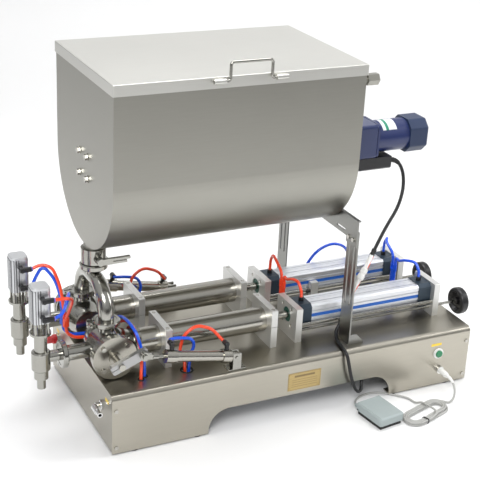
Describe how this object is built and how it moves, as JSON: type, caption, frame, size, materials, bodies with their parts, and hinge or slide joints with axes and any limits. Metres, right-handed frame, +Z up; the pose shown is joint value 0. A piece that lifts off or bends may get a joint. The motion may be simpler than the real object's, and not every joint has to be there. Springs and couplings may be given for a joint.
{
  "type": "piston liquid filler",
  "caption": "Bench filler: two piston barrels with air cylinders, rotary valves and shut-off nozzles under a stirred hopper, on a sheet base with a pedal.",
  "frame": {"origin": "middle of the standing machine's footprint, on the floor under its feet", "axes": "+Z up, +X along the product barrels from the nozzles to the handwheels, front panel faces -Y"},
  "size_m": [1.2124, 0.628, 0.9355],
  "materials": {
    "base_steel": "satin brushed",
    "end_steel": "satin brushed",
    "valve_bank_metal": "satin",
    "black_rubber": "matt",
    "screw_steel": "bright",
    "brass_label": "satin",
    "panel_metal": "bright",
    "plate_aluminium": "fine matt",
    "barrel_steel": "fine brushed",
    "anodised_tube": "satin anodised",
    "slate_caps": "dark anodised",
    "green_gland": "matt",
    "polished_steel": "polished",
    "hopper_steel": "satin brushed",
    "lid_steel": "satin brushed",
    "frame_steel": "satin",
    "gearbox_metal": "cast, satin",
    "motor_blue": "satin paint",
    "black_plastic": "fine grain",
    "actuator_steel": "satin",
    "air_tube": "glossy",
    "green_button": "glossy",
    "red_knob": "satin",
    "pedal_grey": "satin paint",
    "grey_cable": "satin",
    "black_cable": "satin"
  },
  "bodies": {
    "frame": {"base_cover": "base_steel", "end_panels": "end_steel", "valve_bank": "valve_bank_metal", "rubber_feet": "black_rubber", "machine_screws": "screw_steel", "nameplate": "brass_label", "panel_fittings": "panel_metal", "barrel_clamp_plates": "plate_aluminium", "product_barrels": "barrel_steel", "cylinder_plates": "plate_aluminium", "air_cylinder_tubes": "anodised_tube", "air_cylinder_caps": "slate_caps", "rod_glands": "green_gland", "guide_rods": "polished_steel", "hopper_shell": "hopper_steel", "hopper_end_panels": "hopper_steel", "hopper_fittings": "hopper_steel", "gantry_beam": "frame_steel", "gantry_posts": "frame_steel", "gearbox": "gearbox_metal", "motor_body": "motor_blue", "terminal_box": "black_plastic", "butterfly_body": "polished_steel", "product_pipes": "polished_steel", "sanitary_clamps": "polished_steel", "valve_bodies": "polished_steel", "valve_covers": "polished_steel", "nozzle_bodies": "polished_steel", "nozzle_actuators": "actuator_steel", "actuator_clevises": "polished_steel", "air_tubes": "air_tube", "tube_fittings": "black_plastic", "pedal_base": "black_rubber", "pedal_plug": "black_plastic", "pedal_cable": "grey_cable", "cable_hank": "grey_cable", "motor_cable": "black_cable"},
    "lid": {"lid_panel": "lid_steel"},
    "lid_bail": {"lid_handle": "polished_steel"},
    "mixer": {"mixer_shaft": "polished_steel"},
    "shutoff": {"butterfly_handle": "polished_steel"},
    "start_press": {"start_button": "green_button"},
    "selector": {"selector_knob": "red_knob"},
    "treadle": {"pedal_treadle": "pedal_grey"},
    "piston_set_near": {"piston_near": "polished_steel"},
    "valve_rotor_near": {"valve_lever_near": "barrel_steel"},
    "actuator_near": {"valve_cylinder_near": "barrel_steel", "actuator_tubes_near": "air_tube"},
    "actuator_ram_near": {"actuator_rod_near": "polished_steel"},
    "stem_near": {"nozzle_stem_near": "polished_steel"},
    "stroke_wheel_near": {"handwheel_near": "black_plastic"},
    "carriage_near": {"sensor_carriage_near": "slate_caps"},
    "piston_set_far": {"piston_far": "polished_steel"},
    "valve_rotor_far": {"valve_lever_far": "barrel_steel"},
    "actuator_far": {"valve_cylinder_far": "barrel_steel", "actuator_tubes_far": "air_tube"},
    "actuator_ram_far": {"actuator_rod_far": "polished_steel"},
    "stem_far": {"nozzle_stem_far": "polished_steel"},
    "stroke_wheel_far": {"handwheel_far": "black_plastic"},
    "carriage_far": {"sensor_carriage_far": "slate_caps"}
  },
  "joints": [
    {"name": "lid_hinge", "type": "hinge", "parent": "frame", "child": "lid", "pos_m": [-0.12875, 0.2112, 0.869], "axis": [-1, 0, 0], "range_deg": [0, 105]},
    {"name": "lid_handle_fold", "type": "hinge", "parent": "lid", "child": "lid_bail", "pos_m": [-0.12375, -0.2068, 0.89], "axis": [1, 0, 0], "range_deg": [0, 175]},
    {"name": "mixer_turn", "type": "hinge", "parent": "frame", "child": "mixer", "pos_m": [-0.12875, 0.0032, 0.655], "axis": [1, 0, 0], "continuous": true},
    {"name": "shutoff_turn", "type": "hinge", "parent": "frame", "child": "shutoff", "pos_m": [-0.41875, -0.0468, 0.4233], "axis": [0, 1, 0], "range_deg": [0, 60]},
    {"name": "start_button_press", "type": "slide", "parent": "frame", "child": "start_press", "axis": [0, 1, 0], "range_m": [0, 0.003], "stiffness_N_per_m": 300, "springref_m": -0.001},
    {"name": "selector_turn", "type": "hinge", "parent": "frame", "child": "selector", "pos_m": [-0.46375, 0.1852, 0.11], "axis": [1, 0, 0], "range_deg": [0, 90]},
    {"name": "pedal_press", "type": "hinge", "parent": "frame", "child": "treadle", "pos_m": [0.2304, -0.27321, 0.014], "axis": [0.9903, 0.1392, 0], "range_deg": [0, 5], "stiffness_Nm_per_rad": 1.5, "springref_deg": -14.32},
    {"name": "piston_stroke_near", "type": "slide", "parent": "frame", "child": "piston_set_near", "axis": [1, 0, 0], "range_m": [0, 0.25]},
    {"name": "valve_turn_near", "type": "hinge", "parent": "frame", "child": "valve_rotor_near", "pos_m": [-0.41875, -0.0868, 0.218], "axis": [0, -1, 0], "range_deg": [0, 90]},
    {"name": "actuator_tilt_near", "type": "hinge", "parent": "frame", "child": "actuator_near", "pos_m": [-0.12775, -0.2031, 0.195], "axis": [0, 1, 0], "range_deg": [0, 3.1]},
    {"name": "actuator_reach_near", "type": "slide", "parent": "actuator_near", "child": "actuator_ram_near", "axis": [-0.9824, 0, 0.1867], "range_m": [0, 0.082]},
    {"name": "nozzle_lift_near", "type": "slide", "parent": "frame", "child": "stem_near", "axis": [0, 0, 1], "range_m": [0, 0.012]},
    {"name": "stroke_wheel_turn_near", "type": "hinge", "parent": "frame", "child": "stroke_wheel_near", "pos_m": [0.54625, -0.1168, 0.182], "axis": [1, 0, 0], "range_deg": [-9590, 3965]},
    {"name": "carriage_travel_near", "type": "slide", "parent": "frame", "child": "carriage_near", "axis": [1, 0, 0], "range_m": [-0.0882, 0.2132]},
    {"name": "piston_stroke_far", "type": "slide", "parent": "frame", "child": "piston_set_far", "axis": [1, 0, 0], "range_m": [0, 0.25]},
    {"name": "valve_turn_far", "type": "hinge", "parent": "frame", "child": "valve_rotor_far", "pos_m": [-0.41875, 0.0932, 0.218], "axis": [0, -1, 0], "range_deg": [0, 90]},
    {"name": "actuator_tilt_far", "type": "hinge", "parent": "frame", "child": "actuator_far", "pos_m": [-0.12775, 0.2095, 0.195], "axis": [0, 1, 0], "range_deg": [0, 3.1]},
    {"name": "actuator_reach_far", "type": "slide", "parent": "actuator_far", "child": "actuator_ram_far", "axis": [-0.9824, 0, 0.1867], "range_m": [0, 0.082]},
    {"name": "nozzle_lift_far", "type": "slide", "parent": "frame", "child": "stem_far", "axis": [0, 0, 1], "range_m": [0, 0.012]},
    {"name": "stroke_wheel_turn_far", "type": "hinge", "parent": "frame", "child": "stroke_wheel_far", "pos_m": [0.54625, 0.0632, 0.182], "axis": [1, 0, 0], "range_deg": [-9590, 3965]},
    {"name": "carriage_travel_far", "type": "slide", "parent": "frame", "child": "carriage_far", "axis": [1, 0, 0], "range_m": [-0.0882, 0.2132]}
  ],
  "couplings": [
    {"joint": "actuator_tilt_near", "follows": "valve_turn_near", "ratio": 0.033259},
    {"joint": "actuator_reach_near", "follows": "valve_turn_near", "m_per_rad": 0.051387},
    {"joint": "carriage_travel_near", "follows": "stroke_wheel_turn_near", "m_per_rad": -0.0012732},
    {"joint": "actuator_tilt_far", "follows": "valve_turn_far", "ratio": 0.033259},
    {"joint": "actuator_reach_far", "follows": "valve_turn_far", "m_per_rad": 0.051387},
    {"joint": "carriage_travel_far", "follows": "stroke_wheel_turn_far", "m_per_rad": -0.0012732}
  ]
}
